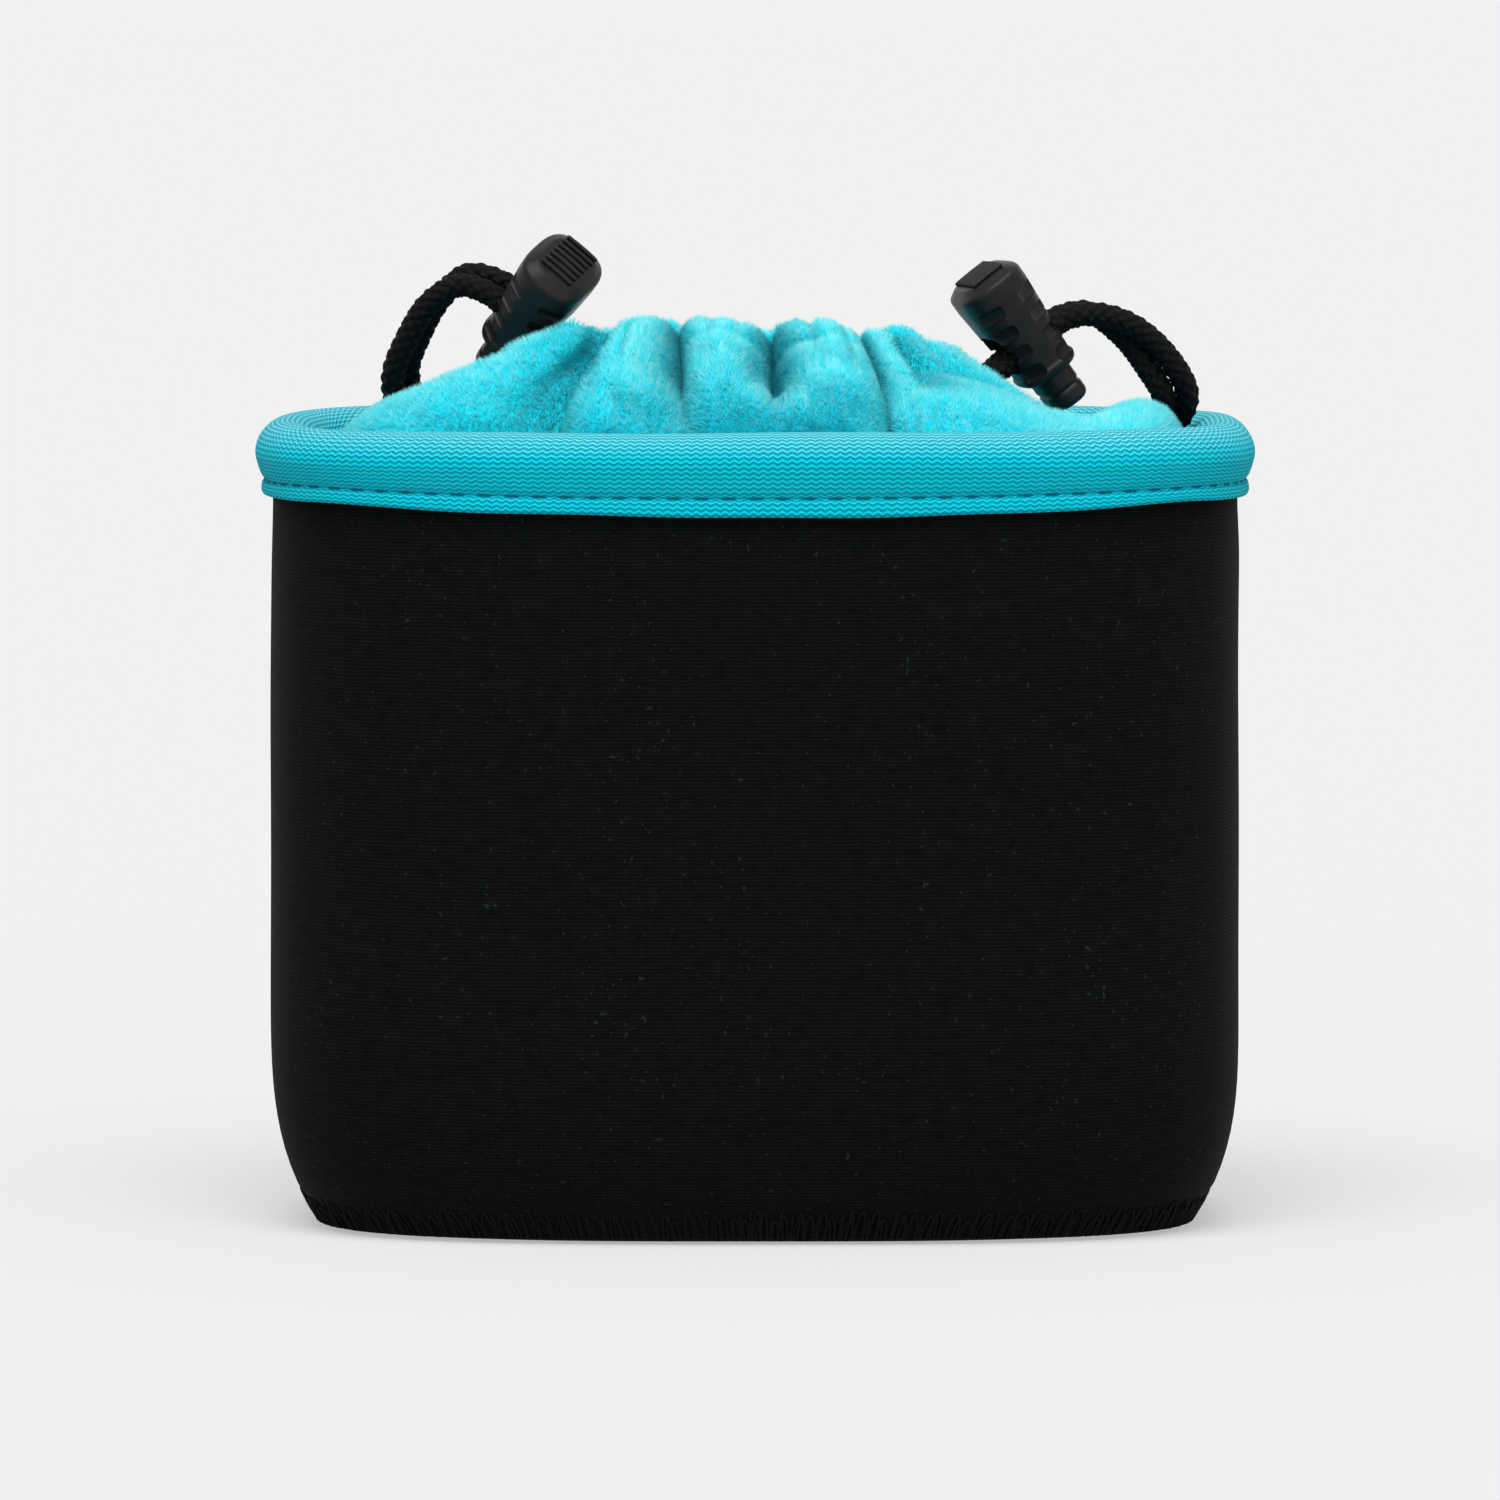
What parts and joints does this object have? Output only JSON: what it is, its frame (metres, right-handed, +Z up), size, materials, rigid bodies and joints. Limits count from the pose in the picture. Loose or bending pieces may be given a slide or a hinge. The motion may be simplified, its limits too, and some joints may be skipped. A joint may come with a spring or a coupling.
{
  "type": "drawstring camera case",
  "caption": "Soft drawstring pouch for a camera: padded rim, gathered fleece collar, sprung cord locks.",
  "frame": {"origin": "middle of the base's underside, on the surface that the case stands on", "axes": "+X to the case's right as seen from its front, -Y to its front, +Z up"},
  "size_m": [0.1726, 0.1046, 0.1715],
  "materials": {
    "neoprene": "matt jersey-faced neoprene",
    "fleece": "short plush pile",
    "binding_knit": "chevron knit tape",
    "foam": "foam cord",
    "black_thread": "overlock thread",
    "teal_thread": "sewing thread",
    "cord_braid": "round braid",
    "lock_plastic": "satin moulded plastic",
    "spring_steel": "spring wire"
  },
  "bodies": {
    "root": {"wall": "neoprene", "base_panel": "neoprene", "wall_lining": "fleece", "base_lining": "fleece", "base_seam": "black_thread", "back_seam": "black_thread", "rim_binding": "binding_knit", "rim_core": "foam", "rim_thread": "teal_thread", "hem_front": "fleece", "hem_back": "fleece", "drawcord_front": "cord_braid", "drawcord_back": "cord_braid", "collar_front": "fleece", "collar_back": "fleece"},
    "left_cord": {"left_cord_front": "cord_braid", "left_cord_back": "cord_braid"},
    "left_lock": {"left_lock_barrel": "lock_plastic", "left_lock_spring": "spring_steel", "left_tail_front": "cord_braid", "left_tail_back": "cord_braid", "left_knot": "cord_braid"},
    "left_button": {"left_lock_button": "lock_plastic"},
    "right_cord": {"right_cord_front": "cord_braid", "right_cord_back": "cord_braid"},
    "right_lock": {"right_lock_barrel": "lock_plastic", "right_lock_spring": "spring_steel", "right_tail_front": "cord_braid", "right_tail_back": "cord_braid", "right_knot": "cord_braid"},
    "right_button": {"right_lock_button": "lock_plastic"}
  },
  "joints": [
    {"name": "left_drawstring_pull", "type": "slide", "parent": "root", "child": "left_cord", "axis": [-0.8192, 0, 0.5736], "range_m": [0, 0.008]},
    {"name": "left_lock_swing", "type": "hinge", "parent": "left_cord", "child": "left_lock", "pos_m": [-0.0328, 0.0003, 0.1515], "axis": [0, 1, 0], "range_deg": [0, 40]},
    {"name": "left_button_press", "type": "slide", "parent": "left_lock", "child": "left_button", "axis": [0.4508, -0.6211, 0.6411], "range_m": [0, 0.003], "stiffness_N_per_m": 400, "springref_m": -0.001, "deforming": ["left_lock_spring"]},
    {"name": "right_drawstring_pull", "type": "slide", "parent": "root", "child": "right_cord", "axis": [0.8192, 0, 0.5736], "range_m": [0, 0.008]},
    {"name": "right_lock_swing", "type": "hinge", "parent": "right_cord", "child": "right_lock", "pos_m": [0.0408, -0.0012, 0.147], "axis": [0, -1, 0], "range_deg": [0, 25]},
    {"name": "right_button_press", "type": "slide", "parent": "right_lock", "child": "right_button", "axis": [-0.5741, -0.174, 0.8001], "range_m": [0, 0.003], "stiffness_N_per_m": 400, "springref_m": -0.001, "deforming": ["right_lock_spring"]}
  ]
}
